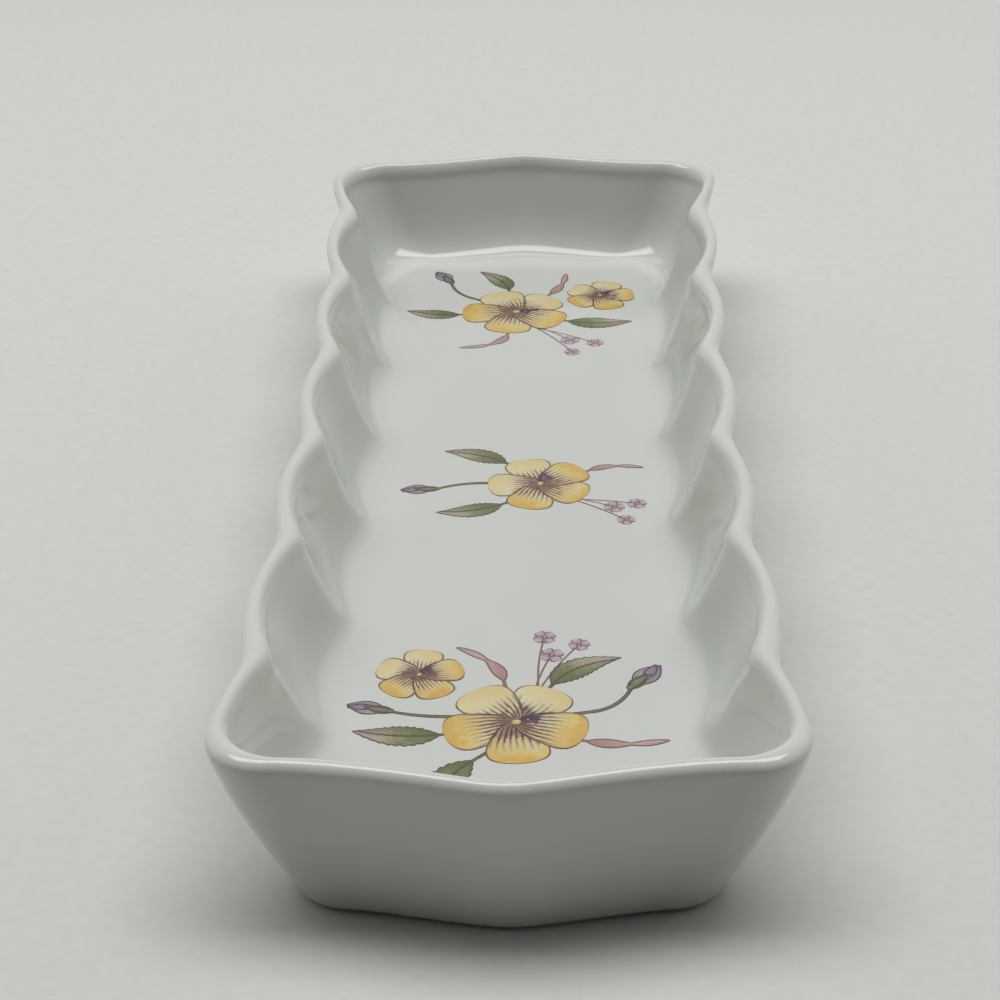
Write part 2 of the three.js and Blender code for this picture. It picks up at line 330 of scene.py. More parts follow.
def wall_rings():
    """Up the outside, which flares in a gentle curve."""
    rings = []
    for i in range(1, WALL_STEPS):
        rise = i / WALL_STEPS
        section = blend(RIM_OUTER, FOOT_OUTER, (1 - rise) ** WALL_CURVE)
        z = FOOT_EDGE_RADIUS + (LIP_BASE - FOOT_EDGE_RADIUS) * rise
        glaze = FOOT_GLAZE + (LIP_GLAZE - FOOT_GLAZE) * rise
        rings.append((section, z, glaze, OUTER_CROWN_GLAZE * rise))
    return rings


def lip_rings():
    """Over the lip, which rolls further down inside than outside."""
    rings = []
    for i in range(LIP_STEPS + 1):
        turn = i / LIP_STEPS * math.pi
        section = blend(RIM_OUTER, RIM_INNER, (1 - math.cos(turn)) / 2)
        depth = LIP_RADIUS if turn < math.pi / 2 else RIM_ROLL_DEPTH
        drop = 1 - math.sin(turn)
        rings.append((section, TRAY_HEIGHT - depth * drop, LIP_GLAZE * drop, 0))
    return rings


def well_rings():
    """Down the inside, which leans in and then runs out level into the floor."""
    rings = []
    for i in range(1, WELL_STEPS + 1):
        s = i / WELL_STEPS
        r = 1 - s
        run = 3 * r * r * s * WELL_LEAN + 3 * r * s * s * COVE_START + s ** 3
        height = r ** 3 + 3 * r * r * s * LEAN_HEIGHT
        z = FLOOR_LEVEL + (WELL_TOP - FLOOR_LEVEL) * height
        glaze = LIP_GLAZE + (COVE_GLAZE - LIP_GLAZE) * math.sin(math.pi * s) ** 2
        rings.append((blend(RIM_INNER, FLOOR_EDGE, run), z, glaze, INNER_CROWN_GLAZE * r))
    return rings


# Bands between the first rings: those left bare of glaze, and the flat one that the tray stands on.
BARE_BANDS = (0, 1, 2)
STANDING_BAND = 1


def tray_mesh():
    """The closed skin of the body, with how thick the glaze lies at each point."""
    rings = foot_rings() + wall_rings() + lip_rings() + well_rings()
    vertices, pool, faces, bare, smooth = [], [], [], [], []
    for section, z, glaze, crown_glaze in rings:
        for x, y, cusp in outline(section):
            vertices.append((x * MM, y * MM, z * MM))
            pool.append(min(1.0, max(0.0, glaze + crown_glaze * (0.5 - cusp))))
    per_ring = len(vertices) // len(rings)
    for r in range(len(rings) - 1):
        for i in range(per_ring):
            here, following = r * per_ring + i, r * per_ring + (i + 1) % per_ring
            faces.append((here, following, following + per_ring, here + per_ring))
            bare.append(r in BARE_BANDS)
            smooth.append(r != STANDING_BAND)
    recess_roof = tuple(reversed(range(per_ring)))
    floor = tuple(range(len(vertices) - per_ring, len(vertices)))
    faces += [recess_roof, floor]
    bare += [False, False]
    smooth += [False, True]
    mesh = bpy.data.meshes.new("glazed_tray")
    mesh.from_pydata(vertices, [], faces)
    mesh.attributes.new("glaze_pool", "FLOAT", "POINT").data.foreach_set("value", pool)
    mesh.polygons.foreach_set("material_index", [int(face_is_bare) for face_is_bare in bare])
    mesh.polygons.foreach_set("use_smooth", smooth)
    return mesh


def glazed_porcelain():
    """White porcelain under a clear fired glaze: cool where the glaze pools, with soft wavy gloss."""
    material, tree = new_material("glazed porcelain")
    place = add(tree, "TexCoord").outputs["Object"]
    pool = add(tree, "Attribute", attribute_name="glaze_pool").outputs["Fac"]
    cloud_width = 26 * MM
    cloudiness = 0.35
    cloud = add(tree, "TexNoise", {"Vector": place, "Scale": 1 / cloud_width, "Detail": 2.0}).outputs[0]
    depth = add(tree, "Math", {0: cloud, 1: cloudiness, 2: pool}, operation="MULTIPLY_ADD")
    tints = [(0.15, THIN_GLAZE), (0.9167, POOLED_GLAZE)]
    colour = add(tree, "ValToRGB", {0: depth.outputs[0]}, stops=tints)
    peel_width = 7 * MM
    peel_height = 0.03 * MM
    peel = add(tree, "TexNoise", {"Vector": place, "Scale": 1 / peel_width, "Detail": 1.0})
    bump = add(tree, "Bump", {"Height": peel.outputs[0], "Distance": peel_height, "Strength": 0.6})
    gloss = add(tree, "MapRange", {0: cloud, 3: GLOSSIEST, 4: DULLEST})
    shader = add(tree, "BsdfPrincipled", {
        "Base Color": colour.outputs[0],
        "Roughness": gloss.outputs[0],
        "Normal": bump.outputs[0],
        "IOR": 1.52,
    })
    add(tree, "OutputMaterial", {"Surface": shader.outputs[0]})
    return material


def bare_biscuit():
    """Unglazed fired clay on the foot rim: matt, faintly grainy and a little grey from use."""
    material, tree = new_material("bare biscuit porcelain")
    place = add(tree, "TexCoord").outputs["Object"]
    grime_width = 5 * MM
    grime = add(tree, "TexNoise", {"Vector": place, "Scale": 1 / grime_width, "Detail": 4.0})
    tints = [(0.3, USED_CLAY), (0.6, CLEAN_CLAY)]
    colour = add(tree, "ValToRGB", {0: grime.outputs[0]}, stops=tints)
    # Real grain is about a tenth as wide, too fine to show, so it is drawn coarser.
    grain_width = 0.4 * MM
    grain_height = 0.05 * MM
    grain = add(tree, "TexNoise", {"Vector": place, "Scale": 1 / grain_width, "Detail": 2.0})
    bump = add(tree, "Bump", {"Height": grain.outputs[0], "Distance": grain_height, "Strength": 0.5})
    shader = add(tree, "BsdfPrincipled", {
        "Base Color": colour.outputs[0],
        "Roughness": 0.85,
        "Normal": bump.outputs[0],
        "IOR": 1.5,
    })
    add(tree, "OutputMaterial", {"Surface": shader.outputs[0]})
    return material


def build_tray():
    """The porcelain body, glazed all over but for the foot rim that it stands on."""
    tray = link_object("glazed_tray", tray_mesh(), [glazed_porcelain(), bare_biscuit()])
    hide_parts("tray_body")
    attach(tray, "root")


# The room for the print across the flat floor, and how far from the middle the end sprays lie.
PRINT_UNIT = FLOOR_EDGE["half_width"] - FLOOR_EDGE["flute"] - PRINT_MARGIN
END_SPRAY_CENTRE = FLOOR_EDGE["shoulder"] - SPRAY_END_GAP - SPRAY_REACH * PRINT_UNIT

# How far the top of each kind of stroke stands above the floor in millimetres: later colours lie over
# earlier ones, and strokes of one kind lie a step over each other.
STALK_TOP = 0.012
STALK_STEP = 0.006
ROOT_TOP = 0.025
STEM_TOP = 0.03
RIBBON_TOP = 0.04
LEAF_TOP = 0.05
RIB_TOP = 0.055
BUD_TOP = 0.05
FOLD_TOP = 0.055
SEPAL_TOP = 0.06
SEPAL_STEP = 0.005
BUD_BASE_TOP = 0.08
FLORET_TOP = 0.05
FLORET_STEP = 0.004
PETAL_TOP = 0.06
PETAL_STEP = 0.006
EYE_TOP = 0.095
STAMEN_TOP = 0.1


# How wide a stroke is to each side of its middle, by the share of its length.
def even(half_width):
    """A stroke that keeps its width."""
    return lambda along: half_width


def thinning(half_width):
    """A stroke that thins evenly from its root to its tip."""
    at_root, at_tip = 1.05, 0.8
    return lambda along: half_width * (at_root + (at_tip - at_root) * along)


def tapered(half_width, fullest_at):
    """A stroke that is pointed at both ends."""
    power = math.log(0.5) / math.log(fullest_at)
    return lambda along: BLUNT_TIP + half_width * math.sin(math.pi * along ** power)


def toothed(half_width, fullest_at, teeth, depth):
    """A tapered stroke with a saw-toothed edge."""
    plain = tapered(half_width, fullest_at)
    return lambda along: plain(along) * (1 - depth * ((along * teeth) % 1.0))


def rounded(half_width, claw):
    """A petal: narrow at its claw, broad and round at its end."""
    def width(along):
        full = math.sqrt(max(0.0, 1 - (2 * along - 1) ** 4))
        return BLUNT_TIP + half_width * full * (claw + (1 - claw) * math.sin(math.pi / 2 * along))
    return width


def twisted(half_width):
    """A ribbon leaf that turns over once on its way."""
    edge_on, half_turns, lead = 0.22, 1.28, 0.2

    def width(along):
        face_on = abs(math.cos(math.pi * (along * half_turns - lead)))
        blade = math.sin(math.pi * along ** 0.75) ** 0.7
        return BLUNT_TIP + half_width * (edge_on + (1 - edge_on) * face_on) * blade
    return width


def circular(radius):
    """A round dot."""
    return lambda along: DOT_TIP + 2 * radius * math.sqrt(max(0.0, along * (1 - along)))


class Motif:
    """Gathers the strokes of one motif: thin closed islands of enamel with values for the shading."""

    def __init__(self, x, y, turn):
        spot = Matrix.Translation((x, y, FLOOR_LEVEL))
        self.place = spot @ Matrix.Rotation(math.radians(turn), 4, "Z")
        self.vertices, self.faces, self.colours = [], [], []
        self.shading = {"along": [], "across": [], "edge": [], "tone": []}

    def stroke(self, start, heading, length, bend, half_width, top, colour, tone=0.5, steps=24, lanes=6):
        """One stroke along a bent line: start in the motif's own frame, heading in degrees."""
        own = self.place @ Matrix.Translation((*start, 0)) @ Matrix.Rotation(math.radians(heading), 4, "Z")
        first = len(self.vertices)
        for z in (0.0, top):
            for i in range(steps + 1):
                along = (1 - math.cos(math.pi * i / steps)) / 2
                self.cross_row(own, length, bend, along, half_width(along), z, lanes, tone)
        self.skin(first, steps, lanes, colour)

    def cross_row(self, own, length, bend, along, half_width, z, lanes, tone):
        """One row of points across the stroke."""
        tip = Vector((length * math.cos(bend), length * math.sin(bend)))
        knee = Vector((length * STROKE_KNEE, 0))
        centre = 2 * (1 - along) * along * knee + along ** 2 * tip
        heading = ((1 - along) * knee + along * (tip - knee)).normalized()
        left = Vector((-heading.y, heading.x))
        for j in range(lanes + 1):
            across = 2 * j / lanes - 1
            point = centre + left * across * half_width
            self.vertices.append(own @ Vector((point.x, point.y, z)))
            values = {"along": along, "across": across, "edge": (1 - abs(across)) * half_width, "tone": tone}
            for name, value in values.items():
                self.shading[name].append(value)

    def skin(self, first, steps, lanes, colour):
        """The faces under, over and round the stroke's two levels of points."""
        row, level = lanes + 1, (steps + 1) * (lanes + 1)
        before = len(self.faces)
        for i in range(steps):
            for j in range(lanes):
                a = first + i * row + j
                under = (a, a + 1, a + row + 1, a + row)
                self.faces.append(under)
                self.faces.append(tuple(level + v for v in reversed(under)))
        loop = [first + i * row for i in range(steps)]
        loop += [first + steps * row + j for j in range(lanes)]
        loop += [first + i * row + lanes for i in range(steps, 0, -1)]
        loop += [first + j for j in range(lanes, 0, -1)]
        for a, b in zip(loop, loop[1:] + loop[:1]):
            self.faces.append((a, b, b + level, a + level))
        self.colours += [colour] * (len(self.faces) - before)

    def dot(self, centre, radius, top, colour, tone=0.5):
        """A round dot of colour."""
        start = (centre[0] - radius, centre[1])
        self.stroke(start, 0, 2 * radius, 0, circular(radius), top, colour, tone, steps=12, lanes=4)

    def stalk(self, size, colour):
        """A leaf's stalk, which comes from under the bloom and ends under the leaf."""
        length = ROOT_LENGTH + 0.1 * size
        width = even(LEAF_STALK_WIDTH / 2)
        self.stroke((-ROOT_LENGTH, 0), 0, length, 0, width, STEM_TOP, colour, tone=0.4, steps=8, lanes=2)

    def mesh(self, name):
        """All strokes as one mesh, with the values for their shading."""
        mesh = bpy.data.meshes.new(name)
        mesh.from_pydata([v * MM for v in self.vertices], [], self.faces)
        for key, values in self.shading.items():
            mesh.attributes.new(key, "FLOAT", "POINT").data.foreach_set("value", values)
        mesh.polygons.foreach_set("material_index", self.colours)
        return mesh


# The motifs, each in its own frame and with strokes in shares of its size. The first line of each
# names its colours in the order in which its spray lists them.
def draw_bloom(motif, size):
    """An open flower of five round petals, two of them paler, with a small eye and stamens."""
    petal, eye, pale_petal = range(3)
    petals, pale_petals, stamens = 5, 2, 9
    width = rounded(0.45 * size, claw=0.45)
    for k in range(petals):
        # The tones differ from petal to petal and from bloom to bloom.
        tone = (k * 0.37 + size * 0.09) % 1.0
        heading = 360 / petals * (k + 0.5)
        length = size * (0.94 + 0.06 * tone)
        bend = 0.05 - 0.1 * tone
        top = PETAL_TOP + PETAL_STEP * k
        colour = pale_petal if k < pale_petals else petal
        motif.stroke((0, 0), heading, length, bend, width, top, colour, tone, steps=32, lanes=10)
    motif.dot((0, 0), 0.075 * size, EYE_TOP, eye)
    for k in range(stamens):
        reach = size * (0.17 + 0.03 * (k % 2))
        motif.dot(away((0, 0), 360 / stamens * k, reach), 0.028 * size, STAMEN_TOP, eye, tone=0.9)


def draw_floret(motif, size, stalk_turn, stalk_length, stalk_top):
    """A tiny flower of four petals on a hair-thin stalk that runs to the others' stalks."""
    petal, stalk, eye = range(3)
    petals = 4
    width = even(FLORET_STALK_WIDTH / 2)
    motif.stroke((0, 0), stalk_turn, stalk_length, 0.12, width, stalk_top, stalk, 0.3, steps=16, lanes=2)
    width = rounded(0.5 * size, claw=0.5)
    for k in range(petals):
        heading = 360 / petals * (k + 0.5)
        top = FLORET_TOP + FLORET_STEP * k
        motif.stroke((0, 0), heading, size, 0, width, top, petal, k / petals, steps=14, lanes=4)
    motif.dot((0, 0), 0.24 * size, EYE_TOP, eye)


def draw_leaf(motif, size, bend):
    """A saw-toothed leaf with a rib, on a stalk that comes from under the bloom."""
    blade, stalk = range(2)
    motif.stalk(size, stalk)
    width = toothed(0.2 * size, fullest_at=0.42, teeth=11, depth=0.16)
    motif.stroke((0, 0), 0, size, bend, width, LEAF_TOP, blade, steps=96, lanes=10)
    width = tapered(RIB_WIDTH / 2, fullest_at=0.2)
    motif.stroke((0, 0), 0, 0.94 * size, bend, width, RIB_TOP, stalk, tone=0.8, steps=32, lanes=2)


def draw_ribbon(motif, size, bend):
    """A long thin leaf that turns over on its way, so that it narrows and widens again."""
    blade, stalk = range(2)
    motif.stalk(size, stalk)
    motif.stroke((0, 0), 0, size, bend, twisted(0.1 * size), RIBBON_TOP, blade, steps=40, lanes=8)


def draw_bud(motif, size):
    """A closed bud: folded petals that come out of three sepals."""
    petal, sepal = range(2)
    width = tapered(0.23 * size, fullest_at=0.5)
    motif.stroke((0.1 * size, 0), 0, 0.9 * size, 0, width, BUD_TOP, petal, tone=0.2, steps=28, lanes=8)
    width = tapered(0.1 * size, fullest_at=0.6)
    motif.stroke((0.2 * size, -0.06 * size), 4, 0.78 * size, 0.12, width, FOLD_TOP, petal, tone=0.9)
    width = tapered(0.085 * size, fullest_at=0.4)
    for k, heading in enumerate((20, -20, 0)):
        length = size * (0.66 - 0.04 * k)
        bend = -math.radians(heading) * 1.3
        motif.stroke((0, 0), heading, length, bend, width, SEPAL_TOP + SEPAL_STEP * k, sepal, 0.3 * k)
    motif.dot((0.04 * size, 0), 0.075 * size, BUD_BASE_TOP, sepal)


def draw_stem(motif, size, bend):
    """A stem that comes from under the bloom and thins towards its bud."""
    stem = 0
    length, width = ROOT_LENGTH + ROOT_OVERLAP, even(STEM_WIDTH / 2)
    motif.stroke((-ROOT_LENGTH, 0), 0, length, 0, width, ROOT_TOP, stem, steps=6, lanes=4)
    length, width = size + BUD_OVERLAP, thinning(STEM_WIDTH / 2)
    motif.stroke((0, 0), 0, length, bend, width, STEM_TOP, stem, lanes=4)


def washed(tree, values, offset, wash):
    """A colour wash along the stroke, uneven as a hand lays it on."""
    tone_shift = 0.12
    inputs = {0: values["tone"], 1: tone_shift, 2: offset}
    uneven = add(tree, "Math", inputs, operation="MULTIPLY_ADD").outputs[0]
    place = add(tree, "Math", {0: values["along"], 1: uneven}, operation="ADD").outputs[0]
    return add(tree, "ValToRGB", {0: place}, stops=wash).outputs[0]


def shaded_side(tree, values, place):
    """How much darker one side of the stroke is, in a fine stipple."""
    shade_start, shade_full, darkest = 0.5, -0.9, 0.75
    faint_grain, full_grain, faintest = 0.35, 0.6, 0.5
    grain_width = 0.16 * MM
    grain = add(tree, "TexNoise", {"Vector": place, "Scale": 1 / grain_width, "Detail": 1.0}).outputs[0]
    shaded = {0: values["across"], 1: shade_start, 2: shade_full, 3: 0.0, 4: darkest}
    side = add(tree, "MapRange", shaded).outputs[0]
    stippled = {0: grain, 1: faint_grain, 2: full_grain, 3: faintest, 4: 1.0}
    speck = add(tree, "MapRange", stippled).outputs[0]
    return add(tree, "Math", {0: side, 1: speck}, operation="MULTIPLY").outputs[0]


def hatching(tree, values, offset, hatch, reach, strength):
    """Drawn lines along, slanted or across the stroke, which fade out raggedly on their way."""
    along_count, slant, across_count, half_line = hatch
    fade_start, fade_end = reach
    half_spacing, solid_part, raggedness = 0.5, 0.35, 0.5
    off_middle = add(tree, "Math", {0: values["across"]}, operation="ABSOLUTE").outputs[0]
    drawn = offset
    counts = ((values["along"], along_count), (off_middle, slant), (values["across"], across_count))
    for value, count in counts:
        drawn = add(tree, "Math", {0: value, 1: count, 2: drawn}, operation="MULTIPLY_ADD").outputs[0]
    from_line = add(tree, "Math", {0: drawn, 1: half_spacing}, operation="PINGPONG").outputs[0]
    inked = {0: from_line, 1: half_line, 2: half_line * solid_part, 3: 0.0, 4: 1.0}
    line = add(tree, "MapRange", inked).outputs[0]
    inputs = {0: offset, 1: raggedness, 2: values["along"]}
    ragged = add(tree, "Math", inputs, operation="MULTIPLY_ADD").outputs[0]
    fade = add(tree, "MapRange", {0: ragged, 1: fade_end, 2: fade_start, 3: 0.0, 4: strength}).outputs[0]
    return add(tree, "Math", {0: line, 1: fade}, operation="MULTIPLY").outputs[0]


def outlined(tree, values, offset):
    """How strong the thin wavering outline is, by the distance from the edge in millimetres."""
    gone_at, full_at, strength, waver = 0.38, 0.22, 0.9, 0.25
    inputs = {0: offset, 1: waver, 2: values["edge"]}
    wavering = add(tree, "Math", inputs, operation="MULTIPLY_ADD").outputs[0]
    inked = {0: wavering, 1: gone_at, 2: full_at, 3: 0.0, 4: strength}
    return add(tree, "MapRange", inked).outputs[0]


def enamel(name, wash, shade, ink, hatch_ink, hatch, reach, strength):
    """Enamel printed on the glaze and fired to a gloss: a wash of colour that is darker on one side in
    a fine stipple, thin drawn lines and a thin dark outline."""
    material, tree = new_material(name)
    place = add(tree, "TexCoord").outputs["Object"]
    keys = ("along", "across", "edge", "tone")
    values = {key: add(tree, "Attribute", attribute_name=key).outputs["Fac"] for key in keys}
    drift_width = 1.6 * MM
    unevenness = 0.3
    drift = add(tree, "TexNoise", {"Vector": place, "Scale": 1 / drift_width, "Detail": 2.0}).outputs[0]
    offset = add(tree, "MapRange", {0: drift, 3: -unevenness, 4: unevenness}).outputs[0]
    colour = washed(tree, values, offset, wash)
    layers = [
        (shaded_side(tree, values, place), shade),
        (hatching(tree, values, offset, hatch, reach, strength), hatch_ink),
        (outlined(tree, values, offset), ink),
    ]
    for share, hex_colour in layers:
        laid_over = {0: share, 6: colour, 7: linear(hex_colour)}
        colour = add(tree, "Mix", laid_over, data_type="RGBA").outputs[2]
    shader = add(tree, "BsdfPrincipled", {"Base Color": colour, "Roughness": 0.12, "IOR": 1.5})
    add(tree, "OutputMaterial", {"Surface": shader.outputs[0]})
    return material


# Each enamel has its wash from root to tip, its shade, its outline's ink and its hatching's ink. The
# hatching has lines along the stroke, slanted off its middle and across it, half a line's width, where
# the lines start to fade and where they end, and how strong they are.
PETAL = enamel(
    "yellow enamel petal",
    wash=[(0.18, "#453052"), (0.3, "#543E58"), (0.4, "#BCA886"), (0.58, "#D0C395"), (0.82, "#D0B76E"),
          (1.0, "#CBA452")],
    shade="#C9A35C", ink="#54403C", hatch_ink="#40294C",
    hatch=(0, 0, 4.5, 0.28), reach=(0.4, 0.7), strength=0.95)
PALE_PETAL = enamel(
    "cream enamel petal",
    wash=[(0.16, "#453052"), (0.26, "#57425A"), (0.36, "#C0B090"), (0.6, "#D3CAA6"), (1.0, "#D2C08C")],
    shade="#CDB57E", ink="#5A4640", hatch_ink="#40294C",
    hatch=(0, 0, 4.5, 0.28), reach=(0.34, 0.64), strength=0.95)
EYE = enamel(
    "amber enamel eye",
    wash=[(0.2, "#C0A058"), (0.8, "#D6C48C")],
    shade="#A58044", ink="#5A4538", hatch_ink="#7A6040",
    hatch=(0, 0, 2, 0.1), reach=(0.0, 0.5), strength=0.4)
LEAF = enamel(
    "green enamel leaf",
    wash=[(0.05, "#666A46"), (0.4, "#777A55"), (0.72, "#A6A287"), (0.98, "#B69B9F")],
    shade="#5F6340", ink="#4A4438", hatch_ink="#4B4F36",
    hatch=(9, -3.5, 0, 0.1), reach=(0.8, 1.2), strength=0.75)
STEM = enamel(
    "olive enamel stem",
    wash=[(0.0, "#7D7252"), (1.0, "#857C62")],
    shade="#665D42", ink="#54483A", hatch_ink="#54483A",
    hatch=(0, 0, 1, 0.1), reach=(0.0, 0.4), strength=0.3)
RIBBON = enamel(
    "rose pink enamel ribbon",
    wash=[(0.05, "#A27D77"), (0.4, "#B28F88"), (0.75, "#C0A8A4"), (1.0, "#B1908B")],
    shade="#A5817E", ink="#6A4C4A", hatch_ink="#8A6664",
    hatch=(0, 0, 2.4, 0.09), reach=(0.6, 1.0), strength=0.5)
BUD = enamel(
    "violet enamel bud",
    wash=[(0.1, "#8D867C"), (0.45, "#A19A9C"), (0.8, "#8F8394"), (1.0, "#6A5772")],
    shade="#887D88", ink="#4A3C46", hatch_ink="#5A4863",
    hatch=(0, 0, 3.2, 0.14), reach=(0.9, 1.2), strength=0.65)
SEPAL = enamel(
    "green enamel sepal",
    wash=[(0.1, "#747358"), (0.6, "#848067"), (1.0, "#8E8474")],
    shade="#625F48", ink="#4B4438", hatch_ink="#4C4936",
    hatch=(0, 0, 2.2, 0.12), reach=(0.8, 1.1), strength=0.5)
FLORET = enamel(
    "lilac enamel floret",
    wash=[(0.1, "#94808C"), (0.5, "#B3A0AA"), (1.0, "#BEACB2")],
    shade="#A38B9C", ink="#765E6C", hatch_ink="#755A72",
    hatch=(0, 0, 1.6, 0.16), reach=(0.4, 0.8), strength=0.6)
STALK = enamel(
    "rose brown enamel stalk",
    wash=[(0.0, "#8A726A"), (1.0, "#98837B")],
    shade="#866C64", ink="#7A625A", hatch_ink="#7A625A",
    hatch=(0, 0, 1, 0.1), reach=(0.0, 0.3), strength=0.2)


def away(start, bearing, distance):
    """The point at a distance and a bearing from another."""
    turn = math.radians(bearing)
    return start[0] + distance * math.cos(turn), start[1] + distance * math.sin(turn)


def growth_point(host, bearing):
    """Where something comes out from under a bloom's petals."""
    return away(host, bearing, host[2] + GROWTH_GAP)


class Spray:
    """One spray: places and lengths are in shares of the room, and turns and bearings in degrees."""

    def __init__(self, name, centre_y):
        self.name, self.centre_y = name, centre_y

    def build(self, name, slot, colours, spot, turn, draw, *shape):
        """Draws one motif and puts it in the place of its solid."""
        motif = Motif(spot[0] * PRINT_UNIT, self.centre_y + spot[1] * PRINT_UNIT, turn)
        draw(motif, *shape)
        node = f"{self.name}_{name}"
        piece = link_object(f"{node}_print", motif.mesh(f"{node}_print"), colours)
        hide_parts(node)
        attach(piece, "root")

    def bloom(self, name, x, y, turn, radius):
        size = radius * PRINT_UNIT
        self.build(name, "yellow_enamel", [PETAL, EYE, PALE_PETAL], (x, y), turn, draw_bloom, size)
        return x, y, radius

    def leaf(self, name, host, bearing, turn, length, bend):
        spot, size = growth_point(host, bearing), length * PRINT_UNIT
        self.build(name, "green_enamel", [LEAF, STEM], spot, turn, draw_leaf, size, bend)

    def ribbon(self, name, host, bearing, turn, length, bend):
        spot, size = growth_point(host, bearing), length * PRINT_UNIT
        self.build(name, "pink_enamel", [RIBBON, STALK], spot, turn, draw_ribbon, size, bend)

    def stem(self, name, host, bearing, turn, length, bend):
        """Also gives the stem's tip and the way that it points there, for a bud to sit on."""
        spot, size = growth_point(host, bearing), length * PRINT_UNIT
        self.build(name, "olive_enamel", [STEM], spot, turn, draw_stem, size, bend)
        last_turn = turn + math.degrees(math.atan2(math.sin(bend), math.cos(bend) - STROKE_KNEE))
        return away(spot, turn + math.degrees(bend), length), last_turn

    def bud(self, name, carrier, nod, length):
        tip, last_turn = carrier
        spot, size = away(tip, last_turn, BUD_GAP), length * PRINT_UNIT
        self.build(name, "violet_enamel", [BUD, SEPAL], spot, last_turn + nod, draw_bud, size)

    def floret(self, name, host, bearing, distance, radius, root_bearing):
        """The stalks of a spray's florets start at one root and lie over each other by their letters."""
        spot, size = away(host, bearing, distance), radius * PRINT_UNIT
        root = away(host, root_bearing, host[2] * FLORET_ROOT)
        stalk_turn = math.degrees(math.atan2(root[1] - spot[1], root[0] - spot[0])) - bearing
        stalk_length = math.dist(root, spot) * PRINT_UNIT
        stalk_top = STALK_TOP + STALK_STEP * "abc".index(name[-1])
        self.build(name, "lilac_enamel", [FLORET, STALK, EYE], spot, bearing, draw_floret, size,
                   stalk_turn, stalk_length, stalk_top)


# Each call places one motif. A bloom has its x, y, turn and radius. What grows from a bloom has the
# bearing where it comes out, its turn, its length and its bend. A bud has its stem, how far it nods
# and its length. A floret has its bearing and distance from the bloom, its radius and its root's
# bearing.
def build_front_spray():
    spray = Spray("front", -END_SPRAY_CENTRE)
    large = spray.bloom("bloom_large", 0.02, 0.04, 20, 0.46)
    spray.bloom("bloom_small", -0.6, 0.58, 50, 0.3)
    spray.leaf("leaf_left", large, 196, 190, 0.54, -0.25)
    spray.leaf("leaf_low", large, 238, 226, 0.58, 0.3)
    spray.leaf("leaf_upper", large, 62, 64, 0.54, -0.5)
    spray.ribbon("ribbon_upper", large, 100, 100, 0.5, 0.5)
    spray.ribbon("ribbon_right", large, -25, -16, 0.5, 0.3)
    spray.bud("bud_left", spray.stem("stem_left", large, 172, 178, 0.28, -0.15), 4, 0.3)
    spray.bud("bud_right", spray.stem("stem_right", large, 14, 12, 0.34, 0.6), -20, 0.34)
    spray.floret("floret_a", large, 74, 0.8, 0.08, 80)
    spray.floret("floret_b", large, 66, 0.98, 0.07, 80)
    spray.floret("floret_c", large, 80, 1.0, 0.075, 80)


def build_middle_spray():
    spray = Spray("middle", 0)
    open_bloom = spray.bloom("bloom", 0.16, 0, 75, 0.4)
    spray.leaf("leaf_upper", open_bloom, 128, 140, 0.5, 0.3)
    spray.leaf("leaf_lower", open_bloom, 228, 214, 0.48, -0.35)
    spray.bud("bud", spray.stem("stem", open_bloom, 178, 180, 0.32, 0.25), -25, 0.28)
    spray.ribbon("ribbon", open_bloom, 30, 34, 0.4, -0.5)
    spray.floret("floret_a", open_bloom, -34, 0.64, 0.075, -36)
    spray.floret("floret_b", open_bloom, -24, 0.76, 0.07, -36)
    spray.floret("floret_c", open_bloom, -42, 0.82, 0.065, -36)


def build_rear_spray():
    spray = Spray("rear", END_SPRAY_CENTRE)
    large = spray.bloom("bloom_large", -0.06, -0.04, 5, 0.46)
    spray.bloom("bloom_small", 0.66, 0.3, 38, 0.31)
    spray.leaf("leaf_right", large, -24, -18, 0.54, 0.3)
    spray.leaf("leaf_left", large, 186, 186, 0.46, -0.3)
    spray.leaf("leaf_upper", large, 98, 100, 0.48, 0.4)
    spray.ribbon("ribbon_lower", large, 262, 258, 0.46, -0.8)
    spray.ribbon("ribbon_right", large, 52, 56, 0.46, 0.3)
    spray.bud("bud_upper", spray.stem("stem_upper", large, 142, 146, 0.36, -0.45), 20, 0.3)
    spray.floret("floret_a", large, -52, 0.74, 0.08, -52)
    spray.floret("floret_b", large, -44, 0.92, 0.07, -52)
    spray.floret("floret_c", large, -60, 0.94, 0.065, -52)


def seen_ray(tree):
    """1 on the rays that show the backdrop, straight or in a reflection, and 0 on those that light."""
    path = add(tree, "LightPath").outputs
    mirrored = {0: path["Is Glossy Ray"], 1: path["Is Transmission Ray"]}
    either = add(tree, "Math", mirrored, operation="MAXIMUM").outputs[0]
    return add(tree, "Math", {0: path["Is Camera Ray"], 1: either}, operation="MAXIMUM").outputs[0]


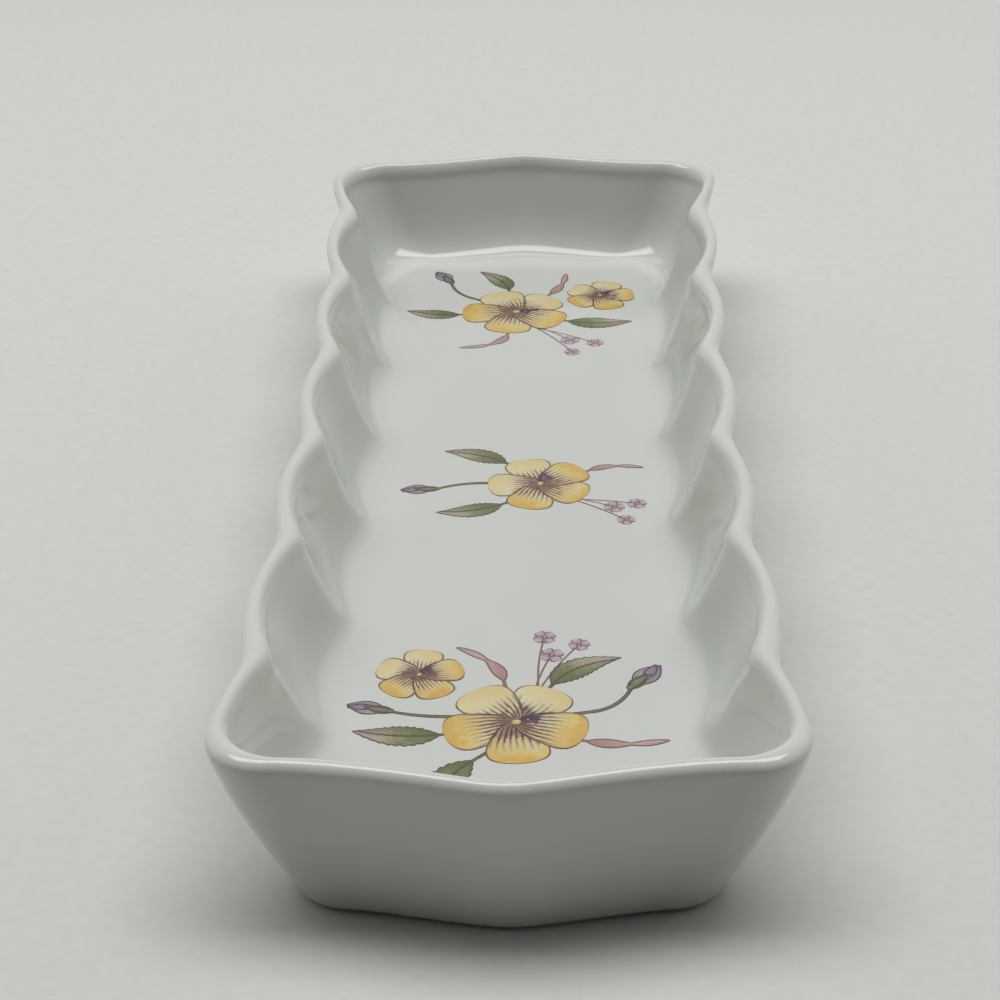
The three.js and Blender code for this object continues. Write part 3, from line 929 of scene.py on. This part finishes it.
def pale_paper():
    """Matt pressed paper: plain light grey with a faint fibre, which far off goes over into the backdrop."""
    material, tree = new_material("pale matt paper")
    place = add(tree, "TexCoord").outputs["Object"]
    fibre_width = 2.5 * MM
    fibre = add(tree, "TexNoise", {"Vector": place, "Scale": 1 / fibre_width, "Detail": 3.0})
    tints = [(0.3, PAPER_SHADE), (0.7, PAPER_LIGHT)]
    colour = add(tree, "ValToRGB", {0: fibre.outputs[0]}, stops=tints)
    paper = add(tree, "BsdfPrincipled", {
        "Base Color": colour.outputs[0],
        "Roughness": 0.9,
        "Specular IOR Level": 0.2,
    })
    backdrop = add(tree, "Emission", {"Color": linear(BACKDROP), "Strength": 1.0})
    distance = add(tree, "VectorMath", {0: place}, operation="LENGTH").outputs["Value"]
    fade = add(tree, "MapRange", {0: distance, 1: FADE_START, 2: FADE_END}).outputs[0]
    share = add(tree, "Math", {0: fade, 1: seen_ray(tree)}, operation="MULTIPLY").outputs[0]
    shader = add(tree, "MixShader", {0: share, 1: paper.outputs[0], 2: backdrop.outputs[0]})
    add(tree, "OutputMaterial", {"Surface": shader.outputs[0]})
    return material


def build_table():
    """A wide level sheet of the paper under the tray."""
    mesh = bpy.data.meshes.new("table")
    corners = [(x * TABLE_REACH, y * TABLE_REACH, 0) for x, y in ((-1, -1), (1, -1), (1, 1), (-1, 1))]
    mesh.from_pydata(corners, [], [(0, 1, 2, 3)])
    link_object("table", mesh, [pale_paper()])


def build_camera():
    """The camera at the photograph's place: turned about the upright, tilted down, then rolled."""
    data = bpy.data.cameras.new("camera")
    data.lens = CAMERA_LENS
    data.sensor_width = CAMERA_SENSOR
    camera = bpy.data.objects.new("camera", data)
    yaw = Matrix.Rotation(math.radians(CAMERA_YAW), 4, "Z")
    pitch = Matrix.Rotation(math.radians(90 - CAMERA_PITCH), 4, "X")
    roll = Matrix.Rotation(math.radians(CAMERA_ROLL), 4, "Z")
    camera.matrix_world = Matrix.Translation(Vector(CAMERA_PLACE) * MM) @ yaw @ pitch @ roll
    bpy.context.scene.collection.objects.link(camera)
    bpy.context.scene.camera = camera


def build_lamp():
    """A broad softbox overhead and a little behind the tray's middle."""
    data = bpy.data.lights.new("overhead softbox", "AREA")
    data.shape = "RECTANGLE"
    data.size = LAMP_WIDTH
    data.size_y = LAMP_DEPTH
    data.energy = LAMP_POWER
    lamp = bpy.data.objects.new("overhead softbox", data)
    lamp.location = LAMP_PLACE
    bpy.context.scene.collection.objects.link(lamp)


def build_room():
    """A room that lights from the sides and is dim towards the camera, seen as a plain backdrop."""
    world = bpy.data.worlds.new("soft room")
    bpy.context.scene.world = world
    world.use_nodes = True
    tree = world.node_tree
    tree.nodes.clear()
    parts = add(tree, "SeparateXYZ", {0: add(tree, "TexCoord").outputs["Generated"]})
    rising = {0: parts.outputs[2], 1: 0.0, 2: 1.0, 3: ROOM_AT_HORIZON, 4: ROOM_OVERHEAD}
    up = add(tree, "MapRange", rising)
    sideways = add(tree, "Math", {0: parts.outputs[0]}, operation="ABSOLUTE")
    turning = {0: sideways.outputs[0], 1: SIDE_START, 2: SIDE_FULL, 3: 0.0, 4: ROOM_AT_SIDES}
    sides = add(tree, "MapRange", turning)
    facing = {0: parts.outputs[1], 1: FRONT_DARK, 2: FRONT_LIGHT, 3: ROOM_IN_FRONT, 4: 1.0}
    front = add(tree, "MapRange", facing)
    both = add(tree, "Math", {0: up.outputs[0], 1: sides.outputs[0]}, operation="ADD")
    level = add(tree, "Math", {0: both.outputs[0], 1: front.outputs[0]}, operation="MULTIPLY")
    shine = add(tree, "Background", {"Color": linear(ROOM_COLOUR), "Strength": level.outputs[0]})
    backdrop = add(tree, "Background", {"Color": linear(BACKDROP), "Strength": 1.0})
    room = add(tree, "MixShader", {0: seen_ray(tree), 1: shine.outputs[0], 2: backdrop.outputs[0]})
    add(tree, "OutputWorld", {"Surface": room.outputs[0]})


bpy.context.scene.view_settings.view_transform = "Standard"
build_camera()
build_tray()
build_front_spray()
build_middle_spray()
build_rear_spray()
build_table()
build_lamp()
build_room()
